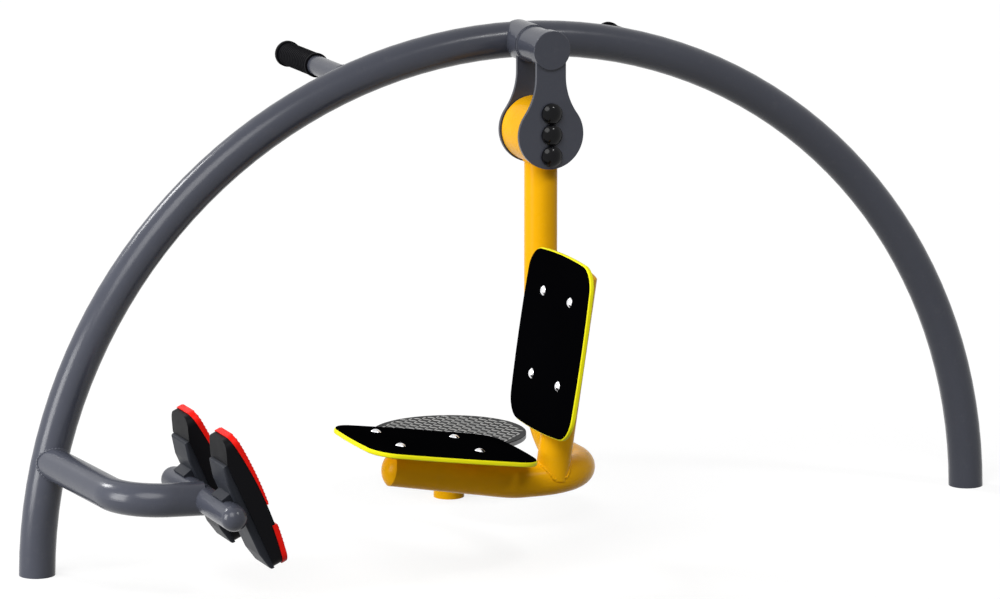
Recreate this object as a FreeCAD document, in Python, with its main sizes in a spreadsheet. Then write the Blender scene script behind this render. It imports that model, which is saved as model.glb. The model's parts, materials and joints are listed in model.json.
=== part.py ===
import FreeCAD, Part
import Sketcher
import math
import os
import re

# Children's outdoor trainer: one arch carries a hanging seat for pushing with the legs against two
# fixed pedals, and a turning disc stands behind the arch between two hand grips.
# Millimetres, +Z up. The arch stands in the XZ plane, the seat hangs on its -Y side.
# Places along Y are counted from the arch plane, and one offset then centres the whole on the origin.

Vector = FreeCAD.Vector
document = FreeCAD.newDocument("LegPressTwister")
sheet = document.addObject("Spreadsheet::Sheet", "Sizes")

SIZES = (
    # arch and its feet
    ("arch_radius", 1083),
    ("arch_sink", 17.1),
    ("arch_tube_diameter", 76.1),
    ("arch_tube_wall", 3.2),
    ("foot_plug_height", 12),
    ("foot_plug_fit", 0.2),
    ("anchor_hole_diameter", 16.8),
    # cross tube with its collars, and hanger plates
    ("cross_tube_diameter", 76.1),
    ("cross_tube_wall", 4),
    ("cross_tube_rise", 1),
    ("cross_tube_stub", 2),
    ("collar_diameter", 82.5),
    ("rear_collar_reach", 86),
    ("front_collar_length", 22.5),
    ("cross_cap_thickness", 3),
    ("cross_cap_rounding", 1.6),
    ("hanger_reach", 183.5),
    ("plate_thickness", 8),
    ("plate_gap", 98),
    ("plate_lobe_radius", 73),
    ("plate_neck_width", 66),
    ("plate_flank_radius", 138),
    ("pivot_drop", 179.4),
    # pivot axle and stop bolts
    ("axle_diameter", 20),
    ("axle_hole_fit", 0.1),
    ("axle_head_diameter", 30),
    ("axle_head_height", 9),
    ("bush_diameter", 28),
    ("bush_running_fit", 0.05),
    ("washer_diameter", 46),
    ("washer_thickness", 2.6),
    ("stop_offset", 45.2),
    ("stop_bolt_diameter", 12),
    ("stop_head_diameter", 20),
    ("stop_head_height", 7.5),
    ("buffer_diameter", 24),
    ("buffer_end_gap", 1),
    ("buffer_side_gap", 0.8),
    ("stop_angle_gap", 1.2),
    ("back_limit", 30),
    ("front_limit", 8),
    ("dome_diameter", 44.6),
    ("dome_height", 17),
    ("dome_rim_height", 7),
    ("dome_wall", 2.5),
    # pivot drum
    ("drum_diameter", 139.7),
    ("drum_wall", 6.3),
    ("drum_length", 92),
    ("drum_disc_thickness", 10),
    # bent swing tube
    ("swing_tube_diameter", 70),
    ("swing_tube_wall", 4),
    ("seat_run_height", 214),
    ("seat_plane_reach", 436),
    ("arm_bend_radius", 132),
    ("knuckle_bend_radius", 130),
    ("seat_rise_start", 190),
    ("seat_rise_angle", 10.5),
    ("seat_rise_radius", 250),
    ("seat_tube_reach", 460),
    ("tube_cap_height", 18),
    ("tube_cap_shoulder", 2),
    ("tube_cap_spigot", 14),
    ("tube_cap_fit", 0.15),
    ("upright_rise", 423),
    # seat and backrest boards
    ("seat_setback", 80.4),
    ("seat_top_height", 315.5),
    ("seat_tilt", 8.54),
    ("back_centre_reach", 107.7),
    ("back_centre_height", 509.8),
    ("back_lean", 8.7),
    ("seat_board_length", 364),
    ("seat_board_width", 280),
    ("seat_board_ahead", 13),
    ("seat_board_aside", 13),
    ("back_board_length", 357),
    ("back_board_width", 314),
    ("back_board_ahead", 11.5),
    ("back_board_aside", 4),
    ("board_bow", 8),
    ("board_corner_radius", 56),
    ("board_core_thickness", 9.7),
    ("board_edge_rounding", 3),
    ("board_skin_thickness", 2.6),
    ("board_skin_inset", 2.5),
    ("board_skin_rounding", 2),
    ("board_bolt_length_pitch", 175),
    ("board_bolt_width_pitch", 140),
    ("board_bolt_diameter", 10),
    ("board_bolt_hole_fit", 0.25),
    ("board_bolt_head_diameter", 21),
    ("board_bolt_head_height", 5.5),
    ("board_nut_size", 17),
    ("board_nut_height", 8),
    ("strip_width", 38),
    ("strip_length", 180),
    ("strip_thickness", 5),
    ("riser_width", 52),
    ("riser_length", 16),
    ("riser_drop", 20),
    # pedal bracket and crossbar
    ("bracket_height", 239),
    ("bracket_tube_diameter", 69),
    ("bracket_tube_wall", 3.2),
    ("bracket_end_run", 154),
    ("bracket_corner_out", 409),
    ("bracket_bend_radius", 115),
    ("crossbar_reach", 865),
    ("crossbar_diameter", 54),
    ("crossbar_wall", 3.2),
    ("crossbar_span", 366),
    ("crossbar_cap_spigot", 12),
    # pedals
    ("pedal_spacing", 234),
    ("pedal_lean", 24.3),
    ("pedal_standoff", 67.5),
    ("pedal_length", 292),
    ("pedal_width", 108),
    ("pedal_crown", 13.4),
    ("pedal_back_depth", 31),
    ("pedal_corner_radius", 24),
    ("base_setback", 5),
    ("base_end_depth", 15),
    ("base_end_run", 45),
    ("upper_tread_heel", 13),
    ("upper_tread_toe", 4),
    ("upper_tread_bottom", 15),
    ("lower_tread_thickness", 11.5),
    ("lower_tread_top", 60),
    ("tread_rounding", 3),
    ("tread_border", 3),
    ("backing_top_margin", 50),
    ("backing_bottom_margin", 4),
    ("backing_depth", 47.5),
    ("backing_end_depth", 39),
    ("backing_end_run", 38),
    ("backing_width", 92),
    ("backing_rounding", 5),
    ("saddle_height", 74),
    ("saddle_width", 64),
    # hand grips
    ("left_handle_reach", 390),
    ("right_handle_reach", 362),
    ("handle_rise", 14),
    ("handle_length", 361),
    ("handle_diameter", 42.4),
    ("handle_wall", 3),
    ("grip_length", 186),
    ("grip_diameter", 48),
    ("grip_end_wall", 5),
    ("grip_end_diameter", 56),
    ("grip_end_width", 12),
    ("grip_end_rounding", 3),
    ("grip_flange_diameter", 52.5),
    ("grip_flange_width", 7),
    # twister
    ("twister_side", 26),
    ("twister_reach", 335),
    ("post_diameter", 68),
    ("post_wall", 3.2),
    ("post_top_thickness", 8),
    ("disc_radius", 171),
    ("disc_top_height", 146),
    ("disc_rim_height", 9),
    ("disc_rim_width", 5),
    ("disc_plate_thickness", 4),
    ("tread_plate_thickness", 2.2),
    ("tread_plate_rounding", 0.8),
    ("hub_diameter", 68),
    ("hub_height", 22),
    ("bearing_diameter", 52),
    ("bearing_length", 18),
    ("spindle_diameter", 25),
    ("spindle_depth", 40),
    ("spindle_top_gap", 3),
    ("spindle_collar_diameter", 44),
    ("spindle_collar_height", 3),
)

ALIASES = set()
for row, (alias, number) in enumerate(SIZES, start=1):
    sheet.set("A%d" % row, alias)
    sheet.set("B%d" % row, str(number))
    sheet.setAlias("B%d" % row, alias)
    ALIASES.add(alias)
document.recompute()


def bound(text):
    """The formula with each size's name turned into a reference to its cell."""
    def reference(found):
        return "Sizes." + found.group(0) if found.group(0) in ALIASES else found.group(0)
    return re.sub(r"[a-z_][a-z0-9_]*", reference, text)


def value(text):
    """The formula's number."""
    answer = sheet.evalExpression(bound(text))
    return float(getattr(answer, "Value", answer))


def bind(thing, **formulas):
    for prop, text in formulas.items():
        thing.setExpression(prop.replace("__", "."), bound(text))


# places that several pieces share, as formulas of the named sizes
CROSS_HEIGHT = "(arch_radius - arch_sink + cross_tube_rise)"
PIVOT_HEIGHT = "(%s - pivot_drop)" % CROSS_HEIGHT
SWING_PLANE = "(-(hanger_reach - plate_thickness - plate_gap / 2))"
SEAT_PLANE = "(-seat_plane_reach)"
FRONT_END = "(seat_plane_reach + crossbar_span / 2 + crossbar_diameter / 2)"
BACK_END = "(twister_reach + disc_radius)"
CENTRE_SHIFT = "((%s - %s) / 2)" % (FRONT_END, BACK_END)
BOARD_THICKNESS = "(board_core_thickness + board_skin_thickness)"

subparts = []


def keep(thing, label):
    thing.Label = label
    subparts.append(thing)
    return thing


def place(thing, x="0", y="0", z="0", axis=None, angle="0"):
    """Puts a piece at a place counted from the arch plane, turned about one axis."""
    if axis is not None:
        thing.Placement = FreeCAD.Placement(Vector(0, 0, 0), FreeCAD.Rotation(Vector(*axis), 1))
        thing.setExpression("Placement.Rotation.Angle", bound(angle))
    thing.setExpression("Placement.Base.x", bound(x))
    thing.setExpression("Placement.Base.y", bound("(%s) + %s" % (y, CENTRE_SHIFT)))
    thing.setExpression("Placement.Base.z", bound(z))
    return thing


def origin_plane(body, role):
    return [feature for feature in body.Origin.OriginFeatures if feature.Role == role][0]


def new_body(name):
    return document.addObject("PartDesign::Body", name)


def new_sketch(body, role, offset=None):
    sketch = body.newObject("Sketcher::SketchObject", body.Name + "Sketch")
    sketch.AttachmentSupport = (origin_plane(body, role), [""])
    sketch.MapMode = "FlatFace"
    if offset is not None:
        sketch.setExpression("AttachmentOffset.Base.z", bound(offset))
    return sketch


def draw_outline(sketch, points):
    """A closed outline of points (x, y), or (x, y, radius, side) where an arc runs to the next
    point, with its centre to the left of the way there for side 1 and to the right for -1."""
    first = sketch.GeometryCount
    spots = [(value(point[0]), value(point[1])) for point in points]
    ends = []
    for index, point in enumerate(points):
        here = Vector(spots[index][0], spots[index][1], 0)
        there = Vector(*spots[(index + 1) % len(points)], 0)
        if len(point) == 2:
            number = sketch.addGeometry(Part.LineSegment(here, there), False)
            ends.append((number, 1, 2))
            continue
        radius = value(point[2])
        way = there - here
        rise = math.sqrt(max(radius ** 2 - (way.Length / 2) ** 2, 0))
        left = Vector(-way.y, way.x, 0).normalize()
        centre = (here + there) / 2 + left * rise * point[3]
        start, stop = (here, there) if point[3] > 0 else (there, here)
        angles = [math.atan2(end.y - centre.y, end.x - centre.x) for end in (start, stop)]
        circle = Part.Circle(centre, Vector(0, 0, 1), radius)
        number = sketch.addGeometry(Part.ArcOfCircle(circle, angles[0], angles[1]), False)
        ends.append((number, 1, 2) if point[3] > 0 else (number, 2, 1))
    for index, (number, start, stop) in enumerate(ends):
        following = ends[(index + 1) % len(ends)]
        sketch.addConstraint(Sketcher.Constraint("Coincident", number, stop, following[0], following[1]))
    for index, (number, start, stop) in enumerate(ends):
        for kind, formula, spot in zip(("DistanceX", "DistanceY"), points[index][:2], spots[index]):
            made = sketch.addConstraint(Sketcher.Constraint(kind, -1, 1, number, start, spot))
            sketch.setExpression("Constraints[%d]" % made, bound(formula))
        if len(points[index]) > 2:
            made = sketch.addConstraint(Sketcher.Constraint("Radius", number, value(points[index][2])))
            sketch.setExpression("Constraints[%d]" % made, bound(points[index][2]))
    return first


def draw_circle(sketch, x, y, radius):
    centre = Vector(value(x), value(y), 0)
    number = sketch.addGeometry(Part.Circle(centre, Vector(0, 0, 1), value(radius)), False)
    for kind, formula in (("DistanceX", x), ("DistanceY", y)):
        made = sketch.addConstraint(Sketcher.Constraint(kind, -1, 1, number, 3, value(formula)))
        sketch.setExpression("Constraints[%d]" % made, bound(formula))
    made = sketch.addConstraint(Sketcher.Constraint("Radius", number, value(radius)))
    sketch.setExpression("Constraints[%d]" % made, bound(radius))


def pad_from(body, sketch, length, middle=False):
    pad = body.newObject("PartDesign::Pad", body.Name + "Pad")
    pad.Profile = sketch
    pad.setExpression("Length", bound(length))
    pad.Midplane = middle
    body.Tip = pad
    return pad


def padded(name, role, points, length, middle=False):
    """A flat piece: an outline on one of the body's own planes, given a thickness."""
    body = new_body(name)
    sketch = new_sketch(body, role)
    draw_outline(sketch, points)
    pad_from(body, sketch, length, middle)
    return body


def pocket_through(body, role, draw):
    """Cuts what draw puts into a sketch, right through the body both ways."""
    document.recompute()
    before = body.Tip.Shape.Volume
    sketch = new_sketch(body, role)
    draw(sketch)
    pocket = body.newObject("PartDesign::Pocket", body.Name + "Pocket")
    pocket.Profile = sketch
    pocket.Midplane = True
    pocket.Type = "ThroughAll"
    body.Tip = pocket
    document.recompute()
    if not pocket.Shape.Volume < before:
        raise RuntimeError("a pocket of %s cuts nothing" % body.Name)
    return pocket


def turned(name, points):
    """A round piece: an outline of (radius, height) points turned about the body's Z axis."""
    body = new_body(name)
    sketch = new_sketch(body, "XZ_Plane")
    draw_outline(sketch, points)
    turn = body.newObject("PartDesign::Revolution", name + "Turn")
    turn.Profile = sketch
    turn.ReferenceAxis = (sketch, ["V_Axis"])
    turn.Angle = 360
    body.Tip = turn
    return body


def fillet(body, choose, radius):
    """Rounds the edges of the body's last feature that the choice picks."""
    document.recompute()
    shape = body.Tip.Shape
    names = ["Edge%d" % (number + 1) for number, edge in enumerate(shape.Edges) if choose(edge)]
    if not names:
        raise RuntimeError("no edge to round on %s" % body.Name)
    base = body.Tip
    rounding = body.newObject("PartDesign::Fillet", body.Name + "Fillet")
    rounding.Base = (base, names)
    rounding.setExpression("Radius", bound(radius))
    body.Tip = rounding
    return rounding


def same(first, second):
    return abs(first - second) < 1e-6 * max(abs(first), abs(second), value("arch_tube_wall"))


def edges_along(axis):
    """Picks the straight edges along one axis of the body."""
    def choose(edge):
        if edge.Curve.TypeId != "Part::GeomLine":
            return False
        return abs(abs(edge.Curve.Direction.dot(Vector(*axis))) - 1) < 1e-6
    return choose


def edge_points(edge):
    """An edge's two ends and a point between them."""
    return [edge.valueAt(edge.FirstParameter + (edge.LastParameter - edge.FirstParameter) * share / 2)
            for share in range(3)]


def edges_at_height(height):
    """Picks the edges that lie all the way at one height of the body."""
    level = value(height)

    def choose(edge):
        return all(same(point.z, level) for point in edge_points(edge))
    return choose


def cylinder(name, radius, length):
    thing = document.addObject("Part::Cylinder", name)
    bind(thing, Radius=radius, Height=length)
    return thing


def cut(name, base, tool):
    thing = document.addObject("Part::Cut", name)
    thing.Base = base
    thing.Tool = tool
    return thing


def group(name, pieces):
    """Equal pieces that share one file, each a solid of its own."""
    thing = document.addObject("Part::Compound", name)
    thing.Links = pieces
    return thing


def spot(x, y, z):
    """A point counted from the arch plane."""
    return Vector(value(x), value(y) + value(CENTRE_SHIFT), value(z))


def bent_path(corners, radii):
    """Straight runs between the corners, joined by tangent arcs of the given radii."""
    edges = []
    start = corners[0]
    for before, corner, after, radius in zip(corners, corners[1:], corners[2:], radii):
        inward = (before - corner).normalize()
        outward = (after - corner).normalize()
        half_turn = (math.pi - inward.getAngle(outward)) / 2
        first = corner + inward * radius * math.tan(half_turn)
        last = corner + outward * radius * math.tan(half_turn)
        towards = (inward + outward).normalize()
        middle = corner + towards * radius * (1 / math.cos(half_turn) - 1)
        edges.append(Part.LineSegment(start, first).toShape())
        edges.append(Part.Arc(first, middle, last).toShape())
        start = last
    edges.append(Part.LineSegment(start, corners[-1]).toShape())
    return Part.Wire(edges)


def piped(name, corners, radii, radius):
    """A solid rod along a bent path."""
    path = bent_path(corners, radii)
    way = (corners[1] - corners[0]).normalize()
    ring = Part.Wire([Part.Circle(corners[0], way, radius).toShape()])
    thing = document.addObject("Part::Feature", name)
    thing.Shape = path.makePipeShell([ring], True, False)
    expected = math.pi * radius ** 2 * path.Length
    print("%s: length %.1f, volume share of section times length %.5f"
          % (name, path.Length, thing.Shape.Volume / expected))
    return thing


# arch

def arch_ring(name, radius):
    ring = document.addObject("Part::Torus", name)
    bind(ring, Radius1="arch_radius", Radius2=radius)
    ring.Angle3 = 180
    return place(ring, z="-arch_sink", axis=(1, 0, 0), angle="90")


def arch():
    outer = arch_ring("ArchOuter", "arch_tube_diameter / 2")
    bore = arch_ring("ArchBore", "arch_tube_diameter / 2 - arch_tube_wall")
    ground = document.addObject("Part::Box", "Ground")
    bind(ground, Length="2 * (arch_radius + arch_tube_diameter)", Width="2 * arch_tube_diameter",
         Height="2 * arch_sink")
    place(ground, "-(arch_radius + arch_tube_diameter)", "-arch_tube_diameter", "-2 * arch_sink")
    keep(cut("ArchTube", cut("ArchHollow", outer, bore), ground), "arch_tube")


def plug(name, tube_diameter, tube_wall):
    """A disc that closes a tube's foot, with the hole for the ground anchor."""
    radius = "%s / 2 - %s - foot_plug_fit" % (tube_diameter, tube_wall)
    return turned(name, [("anchor_hole_diameter / 2", "0"), (radius, "0"), (radius, "foot_plug_height"),
                         ("anchor_hole_diameter / 2", "foot_plug_height")])


def arch_feet():
    for side, word in ((-1, "left"), (1, "right")):
        foot = plug("Foot" + word.title(), "arch_tube_diameter", "arch_tube_wall")
        reach = "%d * sqrt(arch_radius^2 - (arch_sink + foot_plug_height / 2)^2)" % side
        keep(place(foot, reach), "foot_plug_" + word)


# cross tube and hanger

CROSS_END = "(hanger_reach + cross_tube_stub)"


def cross_sleeve(name, radius, wall, length, start="0"):
    """A tube on the cross tube's axis, from a place in front of the arch plane forwards."""
    outer = cylinder(name + "Outer", radius, length)
    bore = cylinder(name + "Bore", "%s - %s" % (radius, wall), length)
    for rod in (outer, bore):
        place(rod, y="-(%s)" % start, z=CROSS_HEIGHT, axis=(1, 0, 0), angle="90")
    return cut(name + "Hollow", outer, bore)


def cross_tube():
    tube = cross_sleeve("Cross", "cross_tube_diameter / 2", "cross_tube_wall", CROSS_END)
    keep(cut("CrossTube", tube, arch_ring("CrossCope", "arch_tube_diameter / 2")), "cross_tube")
    collar_wall = "(collar_diameter - cross_tube_diameter) / 2"
    rear = cross_sleeve("RearCollar", "collar_diameter / 2", collar_wall, "rear_collar_reach")
    keep(cut("RearCollar", rear, arch_ring("CollarCope", "arch_tube_diameter / 2")), "cross_collar_rear")
    front = cross_sleeve("FrontCollar", "collar_diameter / 2", collar_wall, "front_collar_length",
                         "%s - front_collar_length" % CROSS_END)
    keep(front, "cross_collar_front")
    cap = turned("CrossCap", [("0", "0"), ("collar_diameter / 2", "0"),
                              ("collar_diameter / 2", "cross_cap_thickness"), ("0", "cross_cap_thickness")])
    fillet(cap, edges_at_height("cross_cap_thickness"), "cross_cap_rounding")
    keep(place(cap, y="-" + CROSS_END, z=CROSS_HEIGHT, axis=(1, 0, 0), angle="90"), "cross_tube_cap")


WAIST = "sqrt((plate_lobe_radius + plate_flank_radius)^2 - (plate_neck_width / 2 + plate_flank_radius)^2)"
LOBE_SHARE = "(plate_lobe_radius / (plate_lobe_radius + plate_flank_radius))"


def hanger_plates():
    neck = "plate_neck_width / 2"
    touch_x = "(plate_neck_width / 2 + plate_flank_radius) * " + LOBE_SHARE
    touch_z = "%s * %s" % (WAIST, LOBE_SHARE)
    outline = [
        (touch_x, touch_z, "plate_flank_radius", -1),
        (neck, WAIST),
        (neck, "pivot_drop"),
        ("-" + neck, "pivot_drop"),
        ("-" + neck, WAIST, "plate_flank_radius", -1),
        ("-" + touch_x, touch_z, "plate_lobe_radius", 1),
        ("0", "-plate_lobe_radius", "plate_lobe_radius", 1),
    ]

    def holes(sketch):
        draw_circle(sketch, "0", "0", "axle_diameter / 2 + axle_hole_fit")
        draw_circle(sketch, "0", "stop_offset", "stop_bolt_diameter / 2 + axle_hole_fit")
        draw_circle(sketch, "0", "-stop_offset", "stop_bolt_diameter / 2 + axle_hole_fit")

    def tube(sketch):
        draw_circle(sketch, "0", "pivot_drop", "collar_diameter / 2")

    for word, middle in (("front", "-(hanger_reach - plate_thickness / 2)"),
                         ("rear", "-(hanger_reach - 3 * plate_thickness / 2 - plate_gap)")):
        body = padded("Hanger" + word.title(), "XZ_Plane", outline, "plate_thickness", True)
        pocket_through(body, "XZ_Plane", holes)
        pocket_through(body, "XZ_Plane", tube)
        keep(place(body, y=middle, z=PIVOT_HEIGHT), "hanger_plate_" + word)


# pivot axle, stop bolts and their covers

PLATES_DEPTH = "(plate_gap + 2 * plate_thickness)"


def headed_pin(name, radius, head_radius, head_height):
    """A pin through both plates with a head at each end, its middle at the body's origin."""
    half = "%s / 2" % PLATES_DEPTH
    tip = "%s / 2 + %s" % (PLATES_DEPTH, head_height)
    return turned(name, [("0", "-(%s)" % tip), (head_radius, "-(%s)" % tip), (head_radius, "-%s" % half),
                         (radius, "-%s" % half), (radius, half), (head_radius, half), (head_radius, tip),
                         ("0", tip)])


def dome(name):
    """A hollow cap with a domed top, standing on the body's Z = 0."""
    outer, inner = "dome_diameter / 2", "dome_diameter / 2 - dome_wall"
    rise = "(dome_height - dome_rim_height)"
    crown = "((dome_diameter / 2)^2 + %s^2) / (2 * %s)" % (rise, rise)
    inner_crown = "((dome_diameter / 2 - dome_wall)^2 + (%s - dome_wall)^2) / (2 * (%s - dome_wall))" % (rise, rise)
    return turned(name, [(inner, "0"), (outer, "0"), (outer, "dome_rim_height", crown, 1), ("0", "dome_height"),
                         ("0", "dome_height - dome_wall", inner_crown, -1), (inner, "dome_rim_height")])


def pivot_pins():
    axle = headed_pin("PivotAxle", "axle_diameter / 2", "axle_head_diameter / 2", "axle_head_height")
    keep(place(axle, y=SWING_PLANE, z=PIVOT_HEIGHT, axis=(1, 0, 0), angle="90"), "pivot_axle")
    bolts = []
    buffers = []
    half = "(plate_gap / 2 - buffer_end_gap)"
    for side, word in ((-1, "Lower"), (1, "Upper")):
        height = "%s + %d * stop_offset" % (PIVOT_HEIGHT, side)
        bolt = headed_pin("StopBolt" + word, "stop_bolt_diameter / 2", "stop_head_diameter / 2",
                          "stop_head_height")
        bolts.append(place(bolt, y=SWING_PLANE, z=height, axis=(1, 0, 0), angle="90"))
        buffer = turned("StopBuffer" + word, [
            ("stop_bolt_diameter / 2", "-" + half), ("buffer_diameter / 2", "-" + half),
            ("buffer_diameter / 2", half), ("stop_bolt_diameter / 2", half)])
        buffers.append(place(buffer, y=SWING_PLANE, z=height, axis=(1, 0, 0), angle="90"))
    keep(group("StopBolts", bolts), "stop_bolts")
    keep(group("StopBuffers", buffers), "stop_buffers")
    for word, turn, y in (("front", "90", "-hanger_reach"),
                          ("rear", "-90", "-(hanger_reach - %s)" % PLATES_DEPTH)):
        domes = []
        for number, side in enumerate((-1, 0, 1)):
            cap = dome("Dome%s%d" % (word.title(), number))
            height = "%s + %d * stop_offset" % (PIVOT_HEIGHT, side)
            domes.append(place(cap, y=y, z=height, axis=(1, 0, 0), angle=turn))
        keep(group("Domes" + word.title(), domes), "dome_caps_" + word)
    washers = []
    for side, word in ((-1, "Front"), (1, "Rear")):
        washer = turned("Washer" + word, [
            ("axle_diameter / 2 + axle_hole_fit", "-washer_thickness / 2"),
            ("washer_diameter / 2", "-washer_thickness / 2"), ("washer_diameter / 2", "washer_thickness / 2"),
            ("axle_diameter / 2 + axle_hole_fit", "washer_thickness / 2")])
        middle = "%s + %d * (plate_gap - washer_thickness) / 2" % (SWING_PLANE, side)
        washers.append(place(washer, y=middle, z=PIVOT_HEIGHT, axis=(1, 0, 0), angle="90"))
    keep(group("Washers", washers), "pivot_washers")


# pivot drum

DRUM_BORE = "(drum_diameter / 2 - drum_wall)"


def slot_outline(middle_angle):
    """A curved slot that lets a stop buffer pass from one limit of the swing to the other."""
    inner = "(stop_offset - buffer_diameter / 2 - buffer_side_gap)"
    outer = "(stop_offset + buffer_diameter / 2 + buffer_side_gap)"
    beside = "asin(buffer_diameter / 2 / stop_offset) / 1 deg + stop_angle_gap"
    low = "(%d - back_limit - (%s))" % (middle_angle, beside)
    high = "(%d + front_limit + (%s))" % (middle_angle, beside)
    return [
        ("%s * cos(%s)" % (outer, low), "%s * sin(%s)" % (outer, low), outer, 1),
        ("%s * cos(%s)" % (outer, high), "%s * sin(%s)" % (outer, high)),
        ("%s * cos(%s)" % (inner, high), "%s * sin(%s)" % (inner, high), inner, -1),
        ("%s * cos(%s)" % (inner, low), "%s * sin(%s)" % (inner, low)),
    ]


def drum():
    half = "drum_length / 2"
    shell = turned("PivotDrum", [(DRUM_BORE, "-" + half), ("drum_diameter / 2", "-" + half),
                                 ("drum_diameter / 2", half), (DRUM_BORE, half)])
    keep(place(shell, y=SWING_PLANE, z=PIVOT_HEIGHT, axis=(1, 0, 0), angle="90"), "pivot_drum")
    discs = []
    bushes = []
    for side, word in ((-1, "Front"), (1, "Rear")):
        disc = new_body("DrumDisc" + word)
        sketch = new_sketch(disc, "XZ_Plane")
        draw_circle(sketch, "0", "0", DRUM_BORE)
        draw_circle(sketch, "0", "0", "bush_diameter / 2")
        pad_from(disc, sketch, "drum_disc_thickness", True)
        for angle in (90, 270):
            pocket_through(disc, "XZ_Plane", lambda face, angle=angle: draw_outline(face, slot_outline(angle)))
        middle = "%s + %d * (drum_length - drum_disc_thickness) / 2" % (SWING_PLANE, side)
        discs.append(place(disc, y=middle, z=PIVOT_HEIGHT))
        bush = turned("PivotBush" + word, [
            ("axle_diameter / 2 + bush_running_fit", "-drum_disc_thickness / 2"),
            ("bush_diameter / 2", "-drum_disc_thickness / 2"),
            ("bush_diameter / 2", "drum_disc_thickness / 2"),
            ("axle_diameter / 2 + bush_running_fit", "drum_disc_thickness / 2")])
        bushes.append(place(bush, y=middle, z=PIVOT_HEIGHT, axis=(1, 0, 0), angle="90"))
    keep(group("DrumDiscs", discs), "drum_end_discs")
    keep(group("PivotBushes", bushes), "pivot_bushes")


# bent swing tube, from the drum down and forward under the seat

def swing_corners(end="seat_tube_reach"):
    run = "%s - seat_rise_start" % end
    return [
        spot("0", SWING_PLANE, PIVOT_HEIGHT),
        spot("0", SWING_PLANE, "seat_run_height"),
        spot("0", SEAT_PLANE, "seat_run_height"),
        spot("-seat_rise_start", SEAT_PLANE, "seat_run_height"),
        spot("-(%s)" % end, SEAT_PLANE, "seat_run_height + (%s) * tan(seat_rise_angle)" % run),
    ]


def swing_rod(name, radius, end="seat_tube_reach"):
    radii = [value("arm_bend_radius"), value("knuckle_bend_radius"), value("seat_rise_radius")]
    return piped(name, swing_corners(end), radii, value(radius))


def tube_cap(name):
    """A shallow domed end with a spigot inside the tube, its joint at the body's Z = 0."""
    rise = "(tube_cap_height - tube_cap_shoulder)"
    radius = "swing_tube_diameter / 2"
    crown = "((swing_tube_diameter / 2)^2 + %s^2) / (2 * %s)" % (rise, rise)
    spigot = "swing_tube_diameter / 2 - swing_tube_wall - tube_cap_fit"
    body = turned(name, [("0", "-tube_cap_spigot"), (spigot, "-tube_cap_spigot"), (spigot, "0"), (radius, "0"),
                         (radius, "tube_cap_shoulder", crown, 1), ("0", "tube_cap_height")])
    return body


UPRIGHT_GAP = "(%s + swing_tube_diameter / 2)" % BOARD_THICKNESS
UPRIGHT_X = "(-back_centre_reach + %s * cos(back_lean))" % UPRIGHT_GAP
UPRIGHT_Z = "(back_centre_height - %s * sin(back_lean))" % UPRIGHT_GAP
UPRIGHT_DOWN = "((%s - seat_run_height) / cos(back_lean))" % UPRIGHT_Z
UPRIGHT_FOOT_X = "(%s - %s * sin(back_lean))" % (UPRIGHT_X, UPRIGHT_DOWN)


def swing_tubes():
    hollow = cut("SwingHollow", swing_rod("SwingOuter", "swing_tube_diameter / 2"),
                 swing_rod("SwingBore", "swing_tube_diameter / 2 - swing_tube_wall"))
    drum_tool = cylinder("SwingCope", "drum_diameter / 2", "drum_length")
    place(drum_tool, y="%s + drum_length / 2" % SWING_PLANE, z=PIVOT_HEIGHT, axis=(1, 0, 0), angle="90")
    keep(cut("SwingTube", hollow, drum_tool), "swing_tube")
    run = "(seat_tube_reach - seat_rise_start)"
    cap = tube_cap("SeatTubeCap")
    keep(place(cap, "-seat_tube_reach", SEAT_PLANE, "seat_run_height + %s * tan(seat_rise_angle)" % run,
               axis=(0, 1, 0), angle="seat_rise_angle - 90"), "seat_tube_cap")
    outer = cylinder("UprightOuter", "swing_tube_diameter / 2", "upright_rise")
    bore = cylinder("UprightBore", "swing_tube_diameter / 2 - swing_tube_wall", "upright_rise")
    for rod in (outer, bore):
        place(rod, UPRIGHT_FOOT_X, SEAT_PLANE, "seat_run_height", axis=(0, 1, 0), angle="back_lean")
    upright = cut("UprightHollow", outer, bore)
    keep(cut("UprightTube", upright, swing_rod("UprightCope", "swing_tube_diameter / 2")), "upright_tube")
    top = tube_cap("UprightCap")
    keep(place(top, "%s + upright_rise * sin(back_lean)" % UPRIGHT_FOOT_X, SEAT_PLANE,
               "seat_run_height + upright_rise * cos(back_lean)", axis=(0, 1, 0), angle="back_lean"),
         "upright_cap")


# seat and backrest boards: a yellow core with a black top layer, on cross strips

def board_points(word, inset):
    """The outline about the middle of the bolts, which isn't the board's own middle."""
    half_length = "(%s_board_length / 2 - %s)" % (word, inset)
    half_width = "(%s_board_width / 2 - %s)" % (word, inset)
    long_bow = "(%s^2 + board_bow^2) / (2 * board_bow)" % half_length
    wide_bow = "(%s^2 + board_bow^2) / (2 * board_bow)" % half_width
    sign = 1 if word == "seat" else -1
    x = "%d * %s_board_ahead" % (sign, word)
    y = "%d * %s_board_aside" % (-sign, word)
    return [
        ("%s + %s" % (x, half_length), "%s - %s" % (y, half_width), wide_bow, 1),
        ("%s + %s" % (x, half_length), "%s + %s" % (y, half_width), long_bow, 1),
        ("%s - %s" % (x, half_length), "%s + %s" % (y, half_width), wide_bow, 1),
        ("%s - %s" % (x, half_length), "%s - %s" % (y, half_width), long_bow, 1),
    ]


def board_bolt_spots():
    return [(x, y) for x in (-1, 1) for y in (-1, 1)]


def board_holes(sketch):
    for x, y in board_bolt_spots():
        draw_circle(sketch, "%d * board_bolt_length_pitch / 2" % x, "%d * board_bolt_width_pitch / 2" % y,
                    "board_bolt_diameter / 2 + board_bolt_hole_fit")


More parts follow.
